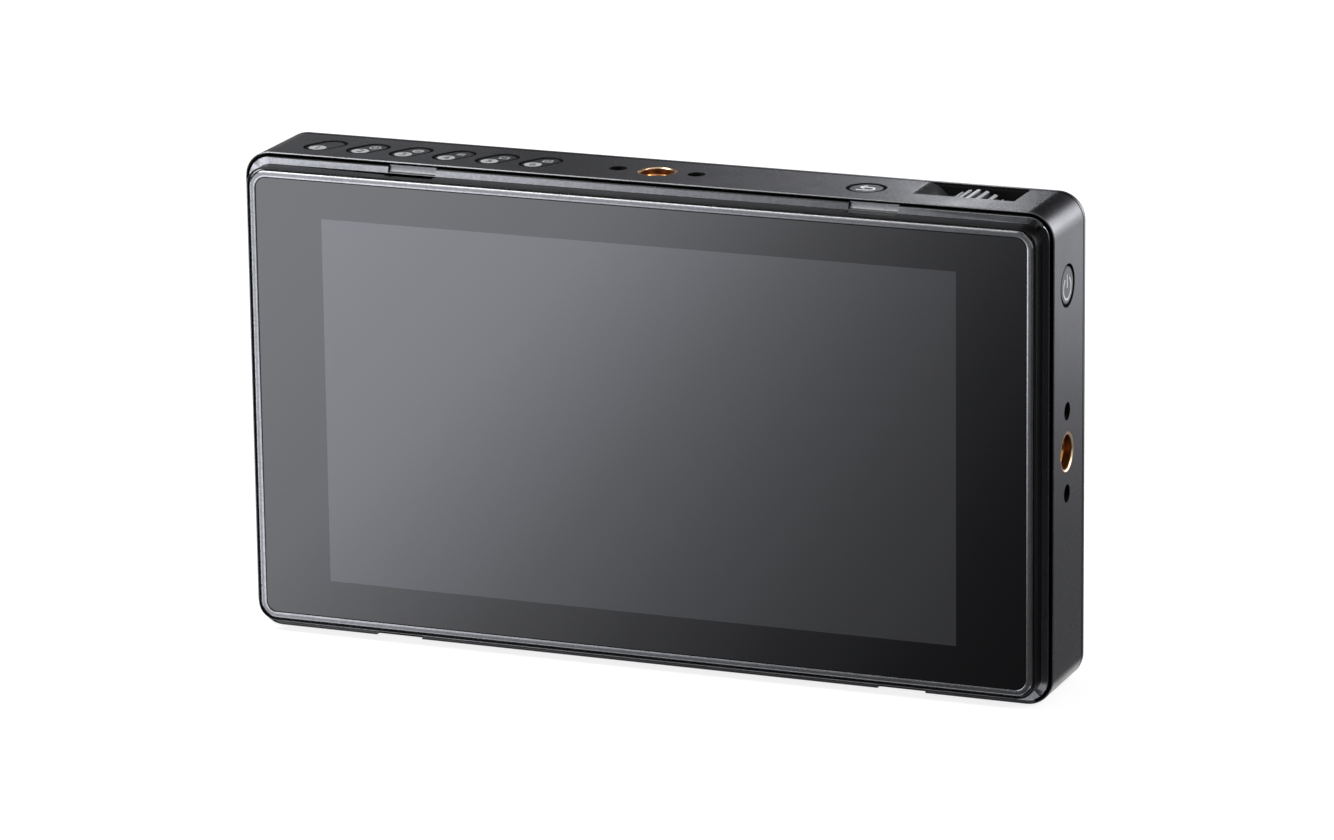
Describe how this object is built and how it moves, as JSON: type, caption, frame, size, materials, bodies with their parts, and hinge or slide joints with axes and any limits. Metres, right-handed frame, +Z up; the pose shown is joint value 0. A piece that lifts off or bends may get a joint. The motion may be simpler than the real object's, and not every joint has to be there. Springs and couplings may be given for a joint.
{
  "type": "camera field monitor",
  "caption": "Slim on-camera monitor: black box with a glossy screen, stepped surround for a clip-on hood, top keys, thumb wheel and brass mounting sockets.",
  "frame": {"origin": "on the flat base, in the middle of the width and of the full depth", "axes": "+X to the right as the viewer sees the screen, +Y from the screen to the battery plate, +Z up"},
  "size_m": [0.1554, 0.0282, 0.09],
  "materials": {
    "body_black": "fine-grained matt coating",
    "ring_black": "satin, fine-grained",
    "bezel_black": "satin black, rounded edge",
    "screen_glass": "gloss black cover glass, screen off",
    "adhesive": "black tape",
    "clear_adhesive": "clear bonding film",
    "panel": "display cell",
    "light_unit": "white frame in a steel tray",
    "sheet_steel": "pressed sheet",
    "ribbon": "flexible circuit",
    "key_black": "moulded, with light marks",
    "board_green": "solder mask",
    "dome_steel": "snap domes",
    "wheel_black": "ribbed grip",
    "steel_pin": "ground",
    "fork_black": "moulded",
    "socket_brass": "turned, threaded",
    "chip": "moulded package",
    "pad_grey": "soft heat pad",
    "sink_aluminium": "sheet",
    "port_steel": "plated shell",
    "port_black": "moulded",
    "contact_gold": "plated blades",
    "screw_black": "blackened steel",
    "spring_steel": "wire"
  },
  "bodies": {
    "monitor_body": {"backlight": "light_unit", "base_socket": "socket_brass", "battery_board": "board_green", "battery_board_screws": "screw_black", "battery_contacts": "contact_gold", "battery_plate": "body_black", "bezel_ring": "bezel_black", "board_screws": "screw_black", "cover_glass": "screen_glass", "cover_screws": "screw_black", "display_bracket": "sheet_steel", "display_ribbon": "ribbon", "frame_screws": "screw_black", "front_frame": "ring_black", "function_board": "board_green", "glass_tape": "adhesive", "hdmi_socket": "port_steel", "headphone_socket": "port_black", "heat_spreader": "sink_aluminium", "heat_spreader_screws": "screw_black", "key_board_screws": "screw_black", "key_domes": "dome_steel", "latch_retainer": "sheet_steel", "latch_spring": "spring_steel", "lcd_panel": "panel", "main_board": "board_green", "main_housing": "body_black", "main_processor": "chip", "optical_adhesive": "clear_adhesive", "plate_screws": "screw_black", "power_board": "board_green", "power_socket": "port_black", "rear_cover": "body_black", "retainer_screws": "screw_black", "return_board": "board_green", "side_socket": "socket_brass", "thermal_pad": "pad_grey", "top_socket": "socket_brass", "usb_socket": "port_steel", "wheel_encoder": "port_black"},
    "function_key_1": {"function_key_1": "key_black"},
    "function_key_2": {"function_key_2": "key_black"},
    "function_key_3": {"function_key_3": "key_black"},
    "function_key_4": {"function_key_4": "key_black"},
    "function_key_5": {"function_key_5": "key_black"},
    "function_key_6": {"function_key_6": "key_black"},
    "return_key": {"return_key": "key_black"},
    "power_key": {"power_key": "key_black"},
    "wheel_carrier": {"wheel_carrier": "fork_black", "wheel_axle": "steel_pin"},
    "thumb_wheel": {"thumb_wheel": "wheel_black"},
    "battery_latch": {"battery_latch": "key_black"}
  },
  "joints": [
    {"name": "function_key_1_press", "type": "slide", "parent": "monitor_body", "child": "function_key_1", "axis": [0, 0, -1], "range_m": [0, 0.0005], "stiffness_N_per_m": 1600},
    {"name": "function_key_2_press", "type": "slide", "parent": "monitor_body", "child": "function_key_2", "axis": [0, 0, -1], "range_m": [0, 0.0005], "stiffness_N_per_m": 1600},
    {"name": "function_key_3_press", "type": "slide", "parent": "monitor_body", "child": "function_key_3", "axis": [0, 0, -1], "range_m": [0, 0.0005], "stiffness_N_per_m": 1600},
    {"name": "function_key_4_press", "type": "slide", "parent": "monitor_body", "child": "function_key_4", "axis": [0, 0, -1], "range_m": [0, 0.0005], "stiffness_N_per_m": 1600},
    {"name": "function_key_5_press", "type": "slide", "parent": "monitor_body", "child": "function_key_5", "axis": [0, 0, -1], "range_m": [0, 0.0005], "stiffness_N_per_m": 1600},
    {"name": "function_key_6_press", "type": "slide", "parent": "monitor_body", "child": "function_key_6", "axis": [0, 0, -1], "range_m": [0, 0.0005], "stiffness_N_per_m": 1600},
    {"name": "return_key_press", "type": "slide", "parent": "monitor_body", "child": "return_key", "axis": [0, 0, -1], "range_m": [0, 0.0005], "stiffness_N_per_m": 1600},
    {"name": "power_key_press", "type": "slide", "parent": "monitor_body", "child": "power_key", "axis": [-1, 0, 0], "range_m": [0, 0.0005], "stiffness_N_per_m": 2000},
    {"name": "wheel_press", "type": "slide", "parent": "monitor_body", "child": "wheel_carrier", "axis": [0, 0, -1], "range_m": [0, 0.0005], "stiffness_N_per_m": 2400},
    {"name": "wheel_spin", "type": "hinge", "parent": "wheel_carrier", "child": "thumb_wheel", "pos_m": [0.059, 0.0006, 0.08235], "axis": [0, 1, 0], "continuous": true},
    {"name": "latch_press", "type": "slide", "parent": "monitor_body", "child": "battery_latch", "axis": [0, -1, 0], "range_m": [0, 0.0024], "stiffness_N_per_m": 600, "deforming": ["latch_spring"]}
  ]
}
